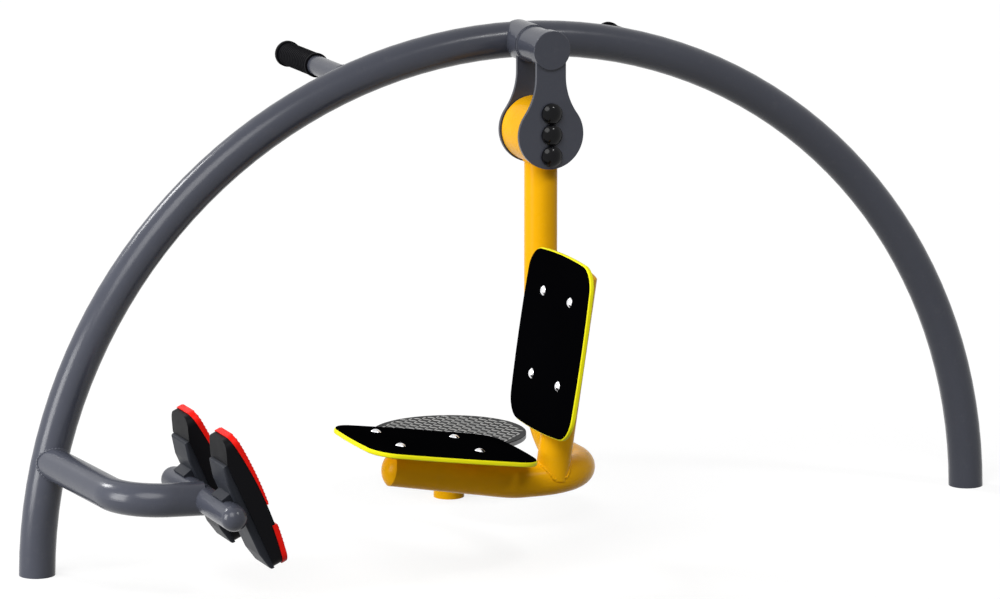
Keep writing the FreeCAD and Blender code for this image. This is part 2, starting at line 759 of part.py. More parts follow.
def board_layer(name, word, inset, thickness, roundings):
    """One layer of a board, from the body's Z = 0 up, with its bolt holes."""
    body = padded(name, "XY_Plane", board_points(word, inset), thickness)
    fillet(body, edges_along((0, 0, 1)), "board_corner_radius - %s" % inset)
    for height, radius in roundings:
        fillet(body, edges_at_height(height), radius)
    pocket_through(body, "XY_Plane", board_holes)
    return body


def on_board(thing, base, tilt_axis_angle, along="0", across="0", up="0"):
    """Places a piece in a board's own frame: X along its length, Y across, Z out of its top face."""
    x, z = base
    place(thing, "%s + (%s) * cos(%s) + (%s) * sin(%s)" % (x, along, tilt_axis_angle, up, tilt_axis_angle),
          "%s + (%s)" % (SEAT_PLANE, across),
          "%s - (%s) * sin(%s) + (%s) * cos(%s)" % (z, along, tilt_axis_angle, up, tilt_axis_angle),
          axis=(0, 1, 0), angle=tilt_axis_angle)
    return thing


def board_bolt(name):
    """A round-headed bolt whose head sits on the body's Z = 0, down through board, strip and nut."""
    grip = "(%s + strip_thickness + board_nut_height + board_bolt_hole_fit)" % BOARD_THICKNESS
    crown = "((board_bolt_head_diameter / 2)^2 + board_bolt_head_height^2) / (2 * board_bolt_head_height)"
    return turned(name, [("0", "-" + grip), ("board_bolt_diameter / 2", "-" + grip),
                         ("board_bolt_diameter / 2", "0"), ("board_bolt_head_diameter / 2", "0", crown, 1),
                         ("0", "board_bolt_head_height")])


def board_nut(name):
    """A six-sided nut, its top face on the body's Z = 0."""
    corner = "board_nut_size / 2 / cos(30)"
    points = [("%s * cos(%d)" % (corner, angle), "%s * sin(%d)" % (corner, angle))
              for angle in range(0, 360, 60)]
    body = padded(name, "XY_Plane", points, "board_nut_height")
    pocket_through(body, "XY_Plane",
                   lambda face: draw_circle(face, "0", "0", "board_bolt_diameter / 2"))
    return body


def strip(name, riser):
    """A flat cross strip on the body's Z = 0, with a riser below one edge of it, 1 or -1, if wanted."""
    bar = padded(name, "XY_Plane", [
        ("strip_width / 2", "-strip_length / 2"), ("strip_width / 2", "strip_length / 2"),
        ("-strip_width / 2", "strip_length / 2"), ("-strip_width / 2", "-strip_length / 2")],
        "strip_thickness")
    if riser:
        sketch = new_sketch(bar, "XY_Plane", "-riser_drop")
        edge = "%d * strip_width / 2" % riser
        inner = "%d * (strip_width / 2 - riser_length)" % riser
        draw_outline(sketch, [(edge, "-riser_width / 2"), (edge, "riser_width / 2"),
                              (inner, "riser_width / 2"), (inner, "-riser_width / 2")])
        pad_from(bar, sketch, "riser_drop")
    document.recompute()

    def holes(sketch):
        for side in (-1, 1):
            draw_circle(sketch, "0", "%d * board_bolt_width_pitch / 2" % side,
                        "board_bolt_diameter / 2 + board_bolt_hole_fit")
    pocket_through(bar, "XY_Plane", holes)
    return bar


SEAT_BASE = ("(seat_setback - seat_tube_reach)", "seat_top_height")
BACK_BASE = ("(-back_centre_reach)", "back_centre_height")


def boards():
    for word, base, angle, riser in (("seat", SEAT_BASE, "seat_tilt", True),
                                     ("back", BACK_BASE, "(back_lean - 90)", False)):
        title = word.title()
        core = board_layer(title + "Core", word, "0", "board_core_thickness",
                           (("0", "board_edge_rounding"), ("board_core_thickness", "board_edge_rounding")))
        keep(on_board(core, base, angle, up="-" + BOARD_THICKNESS), word + "_board")
        skin = board_layer(title + "Skin", word, "board_skin_inset", "board_skin_thickness",
                           (("board_skin_thickness", "board_skin_rounding"),))
        keep(on_board(skin, base, angle, up="-board_skin_thickness"), word + "_board_top")
        bolts = []
        nuts = []
        strips = []
        for number, (x, y) in enumerate(board_bolt_spots()):
            along = "%d * board_bolt_length_pitch / 2" % x
            across = "%d * board_bolt_width_pitch / 2" % y
            bolts.append(on_board(board_bolt("%sBolt%d" % (title, number)), base, angle, along, across))
            nuts.append(on_board(board_nut("%sNut%d" % (title, number)), base, angle, along, across,
                                 "-(%s + strip_thickness + board_nut_height)" % BOARD_THICKNESS))
        for number, x in enumerate((-1, 1)):
            bar = strip("%sStrip%d" % (title, number), -x if riser else 0)
            on_board(bar, base, angle, "%d * board_bolt_length_pitch / 2" % x,
                     up="-(%s + strip_thickness)" % BOARD_THICKNESS)
            if riser:
                tool = swing_rod("%sStripTool%d" % (title, number), "swing_tube_diameter / 2",
                                 "seat_tube_reach + tube_cap_height")
            else:
                tool = cylinder("%sStripTool%d" % (title, number), "swing_tube_diameter / 2", "upright_rise")
                place(tool, UPRIGHT_FOOT_X, SEAT_PLANE, "seat_run_height", axis=(0, 1, 0), angle="back_lean")
            strips.append(cut("%sBracket%d" % (title, number), bar, tool))
        keep(group(title + "Bolts", bolts), word + "_bolts")
        keep(group(title + "Nuts", nuts), word + "_nuts")
        keep(group(title + "Brackets", strips), word + "_brackets")


# pedal bracket and crossbar

def bracket_corners():
    start_x = "-sqrt(arch_radius^2 - (bracket_height + arch_sink)^2)"
    return [
        spot(start_x, "0", "bracket_height"),
        spot("-(crossbar_reach + bracket_end_run)", "-bracket_corner_out", "bracket_height"),
        spot("-crossbar_reach", SEAT_PLANE, "bracket_height"),
    ]


def pedal_bracket():
    radii = [value("bracket_bend_radius")]
    outer = piped("BracketOuter", bracket_corners(), radii, value("bracket_tube_diameter / 2"))
    bore = piped("BracketBore", bracket_corners(), radii,
                 value("bracket_tube_diameter / 2 - bracket_tube_wall"))
    hollow = cut("BracketHollow", outer, bore)
    at_leg = cut("BracketAtLeg", hollow, arch_ring("BracketCope", "arch_tube_diameter / 2"))
    bar = cylinder("BracketBarCope", "crossbar_diameter / 2", "crossbar_span")
    place(bar, "-crossbar_reach", "%s + crossbar_span / 2" % SEAT_PLANE, "bracket_height",
          axis=(1, 0, 0), angle="90")
    keep(cut("PedalBracket", at_leg, bar), "pedal_bracket")


def crossbar():
    outer = cylinder("CrossbarOuter", "crossbar_diameter / 2", "crossbar_span")
    bore = cylinder("CrossbarBore", "crossbar_diameter / 2 - crossbar_wall", "crossbar_span")
    for rod in (outer, bore):
        place(rod, "-crossbar_reach", "%s + crossbar_span / 2" % SEAT_PLANE, "bracket_height",
              axis=(1, 0, 0), angle="90")
    keep(cut("Crossbar", outer, bore), "pedal_crossbar")
    caps = []
    spigot = "crossbar_diameter / 2 - crossbar_wall - tube_cap_fit"
    for side, word, turn in ((-1, "Front", "90"), (1, "Rear", "-90")):
        cap = turned("CrossbarCap" + word, [
            ("0", "-crossbar_cap_spigot"), (spigot, "-crossbar_cap_spigot"), (spigot, "0"),
            ("crossbar_diameter / 2", "0", "crossbar_diameter / 2", 1), ("0", "crossbar_diameter / 2")])
        caps.append(place(cap, "-crossbar_reach", "%s + %d * crossbar_span / 2" % (SEAT_PLANE, side),
                          "bracket_height", axis=(1, 0, 0), angle=turn))
    keep(group("CrossbarCaps", caps), "crossbar_caps")


# pedals: two treads on a base, on a backing that saddles the crossbar.
# In a pedal's own frame +X points at the user, Y runs across and Z up its length.

PEDAL_HALF = "(pedal_length / 2)"
FACE_RADIUS = "((%s^2 + pedal_crown^2) / (2 * pedal_crown))" % PEDAL_HALF


def face_depth(height, under="0"):
    """How far the crowned user face, or a layer under it, stands out at a height."""
    return ("(sqrt(%s^2 - (%s)^2) - (%s - pedal_crown) - (%s))" % (FACE_RADIUS, height, FACE_RADIUS, under))


def pedal_place(thing, side):
    return place(thing, "-crossbar_reach + pedal_standoff * cos(pedal_lean)",
                 "%s + %d * pedal_spacing / 2" % (SEAT_PLANE, side),
                 "bracket_height + pedal_standoff * sin(pedal_lean)", axis=(0, 1, 0), angle="-pedal_lean")


def pedal_end_edges(top):
    """Picks the edges from front to back at a pedal piece's outer end."""
    def choose(edge):
        if edge.Curve.TypeId != "Part::GeomLine" or abs(edge.Curve.Direction.y) > 1e-6:
            return False
        return all(same(point.z, top) for point in edge_points(edge))
    return choose


def pedal_tread(name, low, high, under, thicknesses, end):
    """A tread between two heights, its back under the crowned face, thicker or thinner upwards."""
    low_front, high_front = ["%s - %s" % (under, thickness) for thickness in thicknesses]
    points = [
        (face_depth(low, under), low),
        (face_depth(low, low_front), low, FACE_RADIUS, 1),
        (face_depth(high, high_front), high),
        (face_depth(high, under), high, FACE_RADIUS, -1),
    ]
    body = padded(name, "XZ_Plane", points, "pedal_width", True)
    fillet(body, pedal_end_edges(value(end)), "pedal_corner_radius")
    document.recompute()
    face = max(body.Tip.Shape.Faces, key=lambda one: one.CenterOfMass.x)
    names = ["Edge%d" % (number + 1) for number, edge in enumerate(body.Tip.Shape.Edges)
             if any(edge.isSame(side) for side in face.Edges)]
    base = body.Tip
    rounding = body.newObject("PartDesign::Fillet", name + "Rounding")
    rounding.Base = (base, names)
    rounding.setExpression("Radius", bound("tread_rounding"))
    body.Tip = rounding
    return body


def pedal_base(name):
    """The block under both treads, let in for the lower one and sloping back at its top end."""
    top = "(%s - tread_border)" % PEDAL_HALF
    bottom, step = "(-%s)" % top, "(-lower_tread_top)"
    points = [
        ("-pedal_back_depth", bottom),
        (face_depth(bottom, "lower_tread_thickness"), bottom, FACE_RADIUS, 1),
        (face_depth(step, "lower_tread_thickness"), step),
        (face_depth(step, "base_setback"), step, FACE_RADIUS, 1),
        (face_depth(top, "base_setback"), top),
        ("-base_end_depth", top),
        ("-pedal_back_depth", "%s - base_end_run" % top),
    ]
    body = padded(name, "XZ_Plane", points, "pedal_width - 2 * tread_border", True)
    for end in (top, bottom):
        fillet(body, pedal_end_edges(value(end)), "pedal_corner_radius - tread_border")
    return body


def pedal_backing(name):
    top = "(%s - backing_top_margin)" % PEDAL_HALF
    bottom = "(%s - backing_bottom_margin)" % PEDAL_HALF
    body = padded(name, "XZ_Plane", [
        ("-backing_end_depth", "-" + bottom),
        ("-pedal_back_depth", "-" + bottom),
        ("-pedal_back_depth", top),
        ("-backing_end_depth", top),
        ("-backing_depth", "%s - backing_end_run" % top),
        ("-backing_depth", "-%s + backing_end_run" % bottom),
    ], "backing_width", True)

    def outer_back(edge):
        return edge.BoundBox.XMax < -value("pedal_back_depth") - value("backing_rounding") / 2
    fillet(body, outer_back, "backing_rounding")
    saddle = new_sketch(body, "XZ_Plane")
    draw_outline(saddle, [
        ("-pedal_standoff", "-saddle_height / 2 + backing_rounding"),
        ("-backing_depth + backing_rounding", "-saddle_height / 2"),
        ("-backing_depth + backing_rounding", "saddle_height / 2"),
        ("-pedal_standoff", "saddle_height / 2 - backing_rounding")])
    pad_from(body, saddle, "saddle_width", True)
    pocket_through(body, "XZ_Plane",
                   lambda face: draw_circle(face, "-pedal_standoff", "0", "crossbar_diameter / 2"))
    return body


def pedals():
    top, bottom = PEDAL_HALF, "(-%s)" % PEDAL_HALF
    for side, word in ((-1, "near"), (1, "far")):
        title = word.title()
        keep(pedal_place(pedal_backing("PedalBacking" + title), side), "pedal_backing_" + word)
        keep(pedal_place(pedal_base("PedalBase" + title), side), "pedal_base_" + word)
        upper = pedal_tread("UpperTread" + title, "(-upper_tread_bottom)", top, "base_setback",
                            ("upper_tread_toe", "upper_tread_heel"), top)
        keep(pedal_place(upper, side), "upper_tread_" + word)
        lower = pedal_tread("LowerTread" + title, bottom, "(-lower_tread_top)", "lower_tread_thickness",
                            ("lower_tread_thickness", "lower_tread_thickness"), bottom)
        keep(pedal_place(lower, side), "lower_tread_" + word)


# hand grips behind the arch

HANDLE_HEIGHT = "(sqrt(arch_radius^2 - left_handle_reach^2) - arch_sink + handle_rise)"


def handles():
    for side, word in ((-1, "left"), (1, "right")):
        title = word.title()
        reach = "%d * %s_handle_reach" % (side, word)
        length = "(handle_length - grip_end_wall)"
        outer = cylinder("HandleOuter" + title, "handle_diameter / 2", length)
        bore = cylinder("HandleBore" + title, "handle_diameter / 2 - handle_wall", length)
        for rod in (outer, bore):
            place(rod, reach, z=HANDLE_HEIGHT, axis=(1, 0, 0), angle="-90")
        hollow = cut("HandleHollow" + title, outer, bore)
        keep(cut("Handle" + title, hollow, arch_ring("HandleCope" + title, "arch_tube_diameter / 2")),
             "handle_tube_" + word)
        grip = turned("Grip" + title, [
            ("handle_diameter / 2", "0"), ("grip_flange_diameter / 2", "0"),
            ("grip_flange_diameter / 2", "grip_flange_width"), ("grip_diameter / 2", "grip_flange_width"),
            ("grip_diameter / 2", "grip_length - grip_end_width"),
            ("grip_end_diameter / 2", "grip_length - grip_end_width"),
            ("grip_end_diameter / 2", "grip_length"), ("0", "grip_length"),
            ("0", "grip_length - grip_end_wall"), ("handle_diameter / 2", "grip_length - grip_end_wall")])
        fillet(grip, edges_at_height("grip_length"), "grip_end_rounding")
        keep(place(grip, reach, "handle_length - grip_length", HANDLE_HEIGHT, axis=(1, 0, 0), angle="-90"),
             "grip_" + word)


# twister

HUB_TOP = "(disc_top_height - tread_plate_thickness - disc_plate_thickness)"
HUB_BOTTOM = "(%s - hub_height)" % HUB_TOP
POST_TOP = "(%s - spindle_collar_height - bush_running_fit)" % HUB_BOTTOM


def twister_place(thing):
    return place(thing, "-twister_side", "twister_reach")


def twister():
    post_radius = "post_diameter / 2"
    bore = "post_diameter / 2 - post_wall"
    shoulder = "%s - post_top_thickness" % POST_TOP
    post = turned("TwisterPost", [(bore, "0"), (post_radius, "0"), (post_radius, shoulder), (bore, shoulder)])
    keep(twister_place(post), "twister_post")
    keep(twister_place(plug("TwisterFoot", "post_diameter", "post_wall")), "foot_plug_twister")
    spindle_hole = "spindle_diameter / 2"
    lid = turned("PostLid", [(spindle_hole, shoulder), (post_radius, shoulder), (post_radius, POST_TOP),
                             (spindle_hole, POST_TOP)])
    keep(twister_place(lid), "post_lid")
    collar_top = "%s + spindle_collar_height" % POST_TOP
    spindle = turned("Spindle", [
        ("0", "%s - spindle_depth" % POST_TOP), ("spindle_diameter / 2", "%s - spindle_depth" % POST_TOP),
        ("spindle_diameter / 2", POST_TOP), ("spindle_collar_diameter / 2", POST_TOP),
        ("spindle_collar_diameter / 2", collar_top), ("spindle_diameter / 2", collar_top),
        ("spindle_diameter / 2", "%s - spindle_top_gap" % HUB_TOP), ("0", "%s - spindle_top_gap" % HUB_TOP)])
    keep(twister_place(spindle), "twister_spindle")
    bearing_top = "%s + bearing_length" % HUB_BOTTOM
    bearing = turned("TwisterBearing", [
        ("spindle_diameter / 2 + bush_running_fit", HUB_BOTTOM), ("bearing_diameter / 2", HUB_BOTTOM),
        ("bearing_diameter / 2", bearing_top), ("spindle_diameter / 2 + bush_running_fit", bearing_top)])
    keep(twister_place(bearing), "twister_bearing")
    hub = turned("TwisterHub", [
        ("bearing_diameter / 2", HUB_BOTTOM), ("hub_diameter / 2", HUB_BOTTOM), ("hub_diameter / 2", HUB_TOP),
        ("bearing_diameter / 2", HUB_TOP)])
    keep(twister_place(hub), "twister_hub")
    plate_top = "%s + disc_plate_thickness" % HUB_TOP
    rim_bottom = "disc_top_height - tread_plate_thickness - disc_rim_height"
    disc = turned("TwisterDisc", [
        ("0", HUB_TOP), ("disc_radius - disc_rim_width", HUB_TOP), ("disc_radius - disc_rim_width", rim_bottom),
        ("disc_radius", rim_bottom), ("disc_radius", plate_top), ("0", plate_top)])
    keep(twister_place(disc), "twister_disc")
    tread = turned("TwisterTread", [
        ("0", plate_top), ("disc_radius", plate_top), ("disc_radius", "disc_top_height"),
        ("0", "disc_top_height")])
    fillet(tread, edges_at_height("disc_top_height"), "tread_plate_rounding")
    keep(twister_place(tread), "twister_tread")


def check_and_write():
    document.recompute()
    for thing in document.Objects:
        if "Invalid" in thing.State or "Error" in thing.State:
            raise RuntimeError("%s failed: %s" % (thing.Label, thing.State))
    for thing in subparts:
        if thing.Shape.isNull() or not thing.Shape.isValid() or not thing.Shape.Solids:
            raise RuntimeError("%s has no sound shape" % thing.Label)
    os.makedirs("parts", exist_ok=True)
    whole = FreeCAD.BoundBox()
    for thing in subparts:
        whole.add(thing.Shape.BoundBox)
        thing.Shape.exportStep("parts/%s.step" % thing.Label)
        print("%s: solids %d, volume %.0f" % (thing.Label, len(thing.Shape.Solids), thing.Shape.Volume))
    print("pieces %d, box %.1f %.1f %.1f to %.1f %.1f %.1f" % (
        len(subparts), whole.XMin, whole.YMin, whole.ZMin, whole.XMax, whole.YMax, whole.ZMax))


arch()
arch_feet()
cross_tube()
hanger_plates()
pivot_pins()
drum()
swing_tubes()
boards()
pedal_bracket()
crossbar()
pedals()
handles()
twister()
check_and_write()
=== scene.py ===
import json
import math

import bmesh
import bpy
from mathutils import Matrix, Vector
from mathutils.bvhtree import BVHTree


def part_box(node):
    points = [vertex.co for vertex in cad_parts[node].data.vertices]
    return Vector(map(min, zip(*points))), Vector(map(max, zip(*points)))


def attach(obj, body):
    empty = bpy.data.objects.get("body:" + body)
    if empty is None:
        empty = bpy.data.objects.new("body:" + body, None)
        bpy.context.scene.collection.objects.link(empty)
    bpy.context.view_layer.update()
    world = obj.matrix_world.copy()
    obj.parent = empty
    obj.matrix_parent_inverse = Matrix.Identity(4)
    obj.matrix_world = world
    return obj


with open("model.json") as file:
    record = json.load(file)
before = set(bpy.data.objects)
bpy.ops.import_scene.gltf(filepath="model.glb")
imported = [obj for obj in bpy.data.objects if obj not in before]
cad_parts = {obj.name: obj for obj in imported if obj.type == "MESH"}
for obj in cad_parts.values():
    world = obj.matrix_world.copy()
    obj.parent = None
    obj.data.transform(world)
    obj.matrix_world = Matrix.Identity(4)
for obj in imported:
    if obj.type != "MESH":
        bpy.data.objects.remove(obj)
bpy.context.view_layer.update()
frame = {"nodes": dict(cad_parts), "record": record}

# the arch stands in the plane y = ARCH_Y; lengths are in metres, apart from the camera's sensor and lens
ARCH_Y = 0.070


def linked(name, data):
    """A new object in the scene."""
    thing = bpy.data.objects.new(name, data)
    bpy.context.scene.collection.objects.link(thing)
    return thing


def aim(thing, place, target):
    thing.location = place
    thing.rotation_euler = (Vector(target) - Vector(place)).to_track_quat("-Z", "Y").to_euler()


# camera: the photograph's own place and lens, the sensor and lens in millimetres

CAMERA_PLACE = (-4.2844, -10.3569 + ARCH_Y, 2.7218)
CAMERA_TARGET = (-0.041, ARCH_Y, 0.506)
SENSOR_WIDTH = 36.0
LENS = 192.2
CAMERA_SIGHT = 60.0

camera_data = bpy.data.cameras.new("camera")
camera_data.sensor_fit = "HORIZONTAL"
camera_data.sensor_width = SENSOR_WIDTH
camera_data.lens = LENS
camera_data.clip_end = CAMERA_SIGHT
camera = linked("camera", camera_data)
bpy.context.scene.camera = camera
aim(camera, CAMERA_PLACE, CAMERA_TARGET)


# materials

GRAIN_DEPTH = 0.0004
UNEVEN_GLOSS = 0.03
GLOSS_FINENESS = 6  # against the colour's clouds
DUST_SCALE = 38.0
DUST_DETAIL = 6.0
DUST_ROUGHNESS = 0.7
DUST_START, DUST_FULL = 0.56, 0.74
DUST_COLOUR = (0.36, 0.34, 0.31)


def new_material(name):
    made = bpy.data.materials.new(name)
    made.use_nodes = True
    nodes = made.node_tree.nodes
    nodes.clear()
    output = nodes.new("ShaderNodeOutputMaterial")
    shader = nodes.new("ShaderNodeBsdfPrincipled")
    made.node_tree.links.new(shader.outputs["BSDF"], output.inputs["Surface"])
    return made, made.node_tree, shader


def add(tree, kind, **inputs):
    node = tree.nodes.new(kind)
    for name, value in inputs.items():
        node.inputs[name.replace("_", " ")].default_value = value
    return node


def noise(tree, scale, detail=3.0, roughness=0.5):
    """A noise pattern in the object's own metres."""
    place = tree.nodes.new("ShaderNodeTexCoord")
    pattern = add(tree, "ShaderNodeTexNoise", Scale=scale, Detail=detail, Roughness=roughness)
    tree.links.new(place.outputs["Object"], pattern.inputs["Vector"])
    return pattern.outputs["Fac"]


def spread(tree, source, low, high, start=0.3, end=0.7):
    """The source's values from start to end mapped onto the range from low to high."""
    ranged = add(tree, "ShaderNodeMapRange", From_Min=start, From_Max=end, To_Min=low, To_Max=high)
    tree.links.new(source, ranged.inputs["Value"])
    return ranged.outputs["Result"]


def blended(tree, factor, low, high):
    """Two colours, or another node's colour and a colour, mixed by a factor."""
    mix = tree.nodes.new("ShaderNodeMix")
    mix.data_type = "RGBA"
    tree.links.new(factor, mix.inputs["Factor"])
    for name, side in (("A", low), ("B", high)):
        if isinstance(side, (tuple, list)):
            mix.inputs[name].default_value = [min(part, 1) for part in side] + [1]
        else:
            tree.links.new(side, mix.inputs[name])
    return mix.outputs["Result"]


def coated(name, base, rough, specular, amount=0.06, cloud=4.0, grain=260.0, bump=0.12,
           metallic=0.0, dust=0.0):
    """A surface with cloudy colour, uneven gloss, a fine grain and, where asked, a little dust."""
    made, tree, shader = new_material(name)
    colour = blended(tree, spread(tree, noise(tree, cloud), 0, 1),
                     [part * (1 - amount) for part in base], [part * (1 + amount) for part in base])
    if dust:
        specks = noise(tree, DUST_SCALE, DUST_DETAIL, DUST_ROUGHNESS)
        share = spread(tree, specks, 0, dust, DUST_START, DUST_FULL)
        colour = blended(tree, share, colour, DUST_COLOUR)
    tree.links.new(colour, shader.inputs["Base Color"])
    patches = noise(tree, cloud * GLOSS_FINENESS)
    gloss = spread(tree, patches, rough - UNEVEN_GLOSS, rough + UNEVEN_GLOSS)
    tree.links.new(gloss, shader.inputs["Roughness"])
    shader.inputs["Metallic"].default_value = metallic
    shader.inputs["Specular IOR Level"].default_value = specular
    ripple = add(tree, "ShaderNodeBump", Strength=bump, Distance=GRAIN_DEPTH)
    tree.links.new(noise(tree, grain), ripple.inputs["Height"])
    tree.links.new(ripple.outputs["Normal"], shader.inputs["Normal"])
    return made


MATERIALS = {
    "frame_paint": coated("slate_coat", (0.054, 0.058, 0.076), 0.23, 0.25, dust=0.03),
    "swing_paint": coated("golden_coat", (0.94, 0.46, 0.004), 0.26, 0.05, dust=0.02),
    "board_yellow": coated("lemon_board", (0.98, 0.90, 0.010), 0.45, 0.08, grain=500.0),
    "board_black": coated("black_board", (0.0012, 0.0012, 0.0016), 0.6, 0.0, grain=500.0, bump=0.06),
    "pedal_red": coated("red_tread", (0.90, 0.010, 0.005), 0.36, 0.12, grain=420.0),
    "black_plastic": coated("black_moulding", (0.0035, 0.0035, 0.0045), 0.4, 0.06, grain=500.0),
    "pedal_backing": coated("grey_moulding", (0.018, 0.020, 0.026), 0.42, 0.10, grain=400.0),
    "grip_rubber": coated("grip_rubber", (0.004, 0.004, 0.005), 0.6, 0.03, grain=700.0, bump=0.3),
    "buffer_rubber": coated("buffer_rubber", (0.012, 0.012, 0.012), 0.6, 0.1, grain=700.0, bump=0.3),
    "bolt_steel": coated("bright_zinc", (0.86, 0.86, 0.88), 0.26, 0.5, metallic=1.0, grain=900.0,
                         bump=0.05),
    "bush_bronze": coated("bronze", (0.45, 0.30, 0.12), 0.35, 0.5, metallic=1.0, grain=600.0, bump=0.1),
    "disc_metal": coated("tread_plate", (0.36, 0.36, 0.365), 0.42, 0.15, grain=300.0, bump=0.25,
                         dust=0.3),
}
# the tread plate's ground, near black under bars of the disc's own metal tone: painted shade between the
# bars
TREAD_GROUND_PAINTED_SHADE = coated("tread_ground_painted_shade", (0.020, 0.020, 0.020), 0.55, 0.06, grain=300.0, bump=0.25,
                      dust=0.08)
GLOSS_CAP = coated("glossy_cap", (0.004, 0.004, 0.005), 0.13, 0.14, grain=500.0, bump=0.03)
WORN_BAR = coated("worn_bars", (0.35, 0.35, 0.345), 0.34, 0.25, amount=0.16, cloud=60.0, grain=420.0,
                  bump=0.15)

# nodes that look unlike the rest of their slot; the tread plate's near-black ground is painted shade
# between its bars
OWN_MATERIALS = {"dome_caps_front": GLOSS_CAP, "dome_caps_rear": GLOSS_CAP, "twister_tread": TREAD_GROUND_PAINTED_SHADE}

slots = {part["node"]: part["material_slot"] for part in frame["record"]["subparts"]}
for node, thing in frame["nodes"].items():
    thing.data.materials.clear()
    thing.data.materials.append(OWN_MATERIALS.get(node, MATERIALS[slots[node]]))
    for face in thing.data.polygons:
        face.material_index = 0


# added detail, each piece on the body that carries it

def piece(name, shape, slot, body, material=None):
    mesh = bpy.data.meshes.new(name)
    bmesh.ops.recalc_face_normals(shape, faces=shape.faces)
    shape.to_mesh(mesh)
    shape.free()
    for face in mesh.polygons:
        face.use_smooth = True
    mesh.materials.append(material or MATERIALS[slot])
    thing = linked(name, mesh)
    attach(thing, body)


def surface(node):
    mesh = frame["nodes"][node].data
    return BVHTree.FromPolygons([point.co for point in mesh.vertices],
                                [face.vertices[:] for face in mesh.polygons])


def bridge(shape, one, two):
    """Faces between two closed rings of points."""
    for side in range(len(one)):
        after = (side + 1) % len(one)
        shape.faces.new((one[side], one[after], two[after], two[side]))


# weld beads

BEAD_SIDES = 8
BEAD_PITCH = 0.55  # of the bead's radius
BEAD_SWELL = 0.16  # of the bead's radius
BEAD_SCALE_TURN = 1.6  # radians of a scale's wave from one ring to the next
LEAST_RINGS = 12
TINY = 1e-9
HANDLE_BEAD = 0.0026
RING_BEAD = 0.0022
TUBE_BEAD = 0.003

LINE_POINTS = 72
RAY_REACH = 0.4
RUN_UP = 0.15  # a ray starts this far from the middle of what it looks for
UPRIGHT_RUN_UP = 0.16

# places on the axes of the CAD's tubes, and the tubes' radii
CROSS_TUBE_RADIUS = 0.03805
BRACKET_RADIUS = 0.0345
BRACKET_LEG = Vector((-1.0523, ARCH_Y, 0.239))
BRACKET_CORNER = Vector((-1.019, ARCH_Y - 0.409, 0.239))
SWING_TUBE_RADIUS = 0.035
UPRIGHT_LEAN = math.radians(8.7)
UPRIGHT_FOOT = Vector((-0.1051, ARCH_Y - 0.436, 0.214))
ARM_BELOW_DRUM = Vector((0, ARCH_Y - 0.1265, 0.70))


def evenly(points, step):
    """Points at an even pitch along a closed line."""
    ring = points + points[:1]
    lengths = [(b - a).length for a, b in zip(ring, ring[1:])]
    whole = sum(lengths)
    count = max(int(whole / step), LEAST_RINGS)
    spots = []
    index = 0
    passed = 0.0
    for number in range(count):
        along = whole * number / count
        while passed + lengths[index] < along:
            passed += lengths[index]
            index += 1
        part = (along - passed) / max(lengths[index], TINY)
        spots.append(ring[index].lerp(ring[index + 1], part))
    return spots


def add_bead(shape, points, radius):
    """A round line of weld along a closed line, with the small overlapping scales of a real one."""
    middle = sum(points, Vector()) / len(points)
    spots = evenly(points, radius * BEAD_PITCH)
    rings = []
    for number, spot in enumerate(spots):
        ahead = (spots[(number + 1) % len(spots)] - spots[number - 1]).normalized()
        out = spot - middle
        out = (out - ahead * out.dot(ahead)).normalized()
        across = ahead.cross(out)
        swell = radius * (1 + BEAD_SWELL * math.sin(number * BEAD_SCALE_TURN))
        turns = [2 * math.pi * side / BEAD_SIDES for side in range(BEAD_SIDES)]
        rings.append([shape.verts.new(spot + swell * (out * math.cos(turn) + across * math.sin(turn)))
                      for turn in turns])
    for number, ring in enumerate(rings):
        bridge(shape, ring, rings[(number + 1) % len(rings)])


def round_line(middle, axis, radius):
    axis = Vector(axis).normalized()
    first = axis.orthogonal().normalized()
    second = axis.cross(first)
    return [middle + radius * (first * math.cos(turn) + second * math.sin(turn))
            for turn in (2 * math.pi * number / LINE_POINTS for number in range(LINE_POINTS))]


def meeting_line(start, axis, radius, node):
    """Where a round tube that runs from start along the axis meets another node's surface."""
    target = surface(node)
    hits = [target.ray_cast(point, Vector(axis).normalized(), RAY_REACH)[0]
            for point in round_line(start, axis, radius)]
    return [hit for hit in hits if hit is not None]


def welds():
    painted = bmesh.new()
    for word in ("left", "right"):
        low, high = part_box("handle_tube_" + word)
        start = Vector(((low.x + high.x) / 2, ARCH_Y + RUN_UP, (low.z + high.z) / 2))
        line = meeting_line(start, (0, -1, 0), (high.x - low.x) / 2, "arch_tube")
        add_bead(painted, line, HANDLE_BEAD)
    axis = (BRACKET_LEG - BRACKET_CORNER).normalized()
    line = meeting_line(BRACKET_LEG - axis * RUN_UP, axis, BRACKET_RADIUS, "arch_tube")
    add_bead(painted, line, TUBE_BEAD)
    low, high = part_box("cross_collar_rear")
    height = (low.z + high.z) / 2
    for y in (low.y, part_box("cross_collar_front")[1].y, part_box("hanger_plate_front")[1].y):
        add_bead(painted, round_line(Vector((0, y, height)), (0, 1, 0), CROSS_TUBE_RADIUS), RING_BEAD)
    piece("weld_beads_frame", painted, "frame_paint", "frame")

    golden = bmesh.new()
    axis = Vector((-math.sin(UPRIGHT_LEAN), 0, -math.cos(UPRIGHT_LEAN)))
    start = UPRIGHT_FOOT - axis * UPRIGHT_RUN_UP
    add_bead(golden, meeting_line(start, axis, SWING_TUBE_RADIUS, "swing_tube"), TUBE_BEAD)
    line = meeting_line(ARM_BELOW_DRUM, (0, 0, 1), SWING_TUBE_RADIUS, "pivot_drum")
    add_bead(golden, line, TUBE_BEAD)
    piece("weld_beads_swing", golden, "swing_paint", "swing")


# the disc's tread

LOZENGE_PITCH = 0.0165
LOZENGE_HALF_LENGTH = 0.0094
LOZENGE_HALF_WIDTH = 0.0026
LOZENGE_LEVELS = ((1.0, -0.0002), (0.86, 0.0007), (0.5, 0.0012))  # share of the outline, height
LOZENGE_SIDES = 10
TREAD_MARGIN = 0.0105


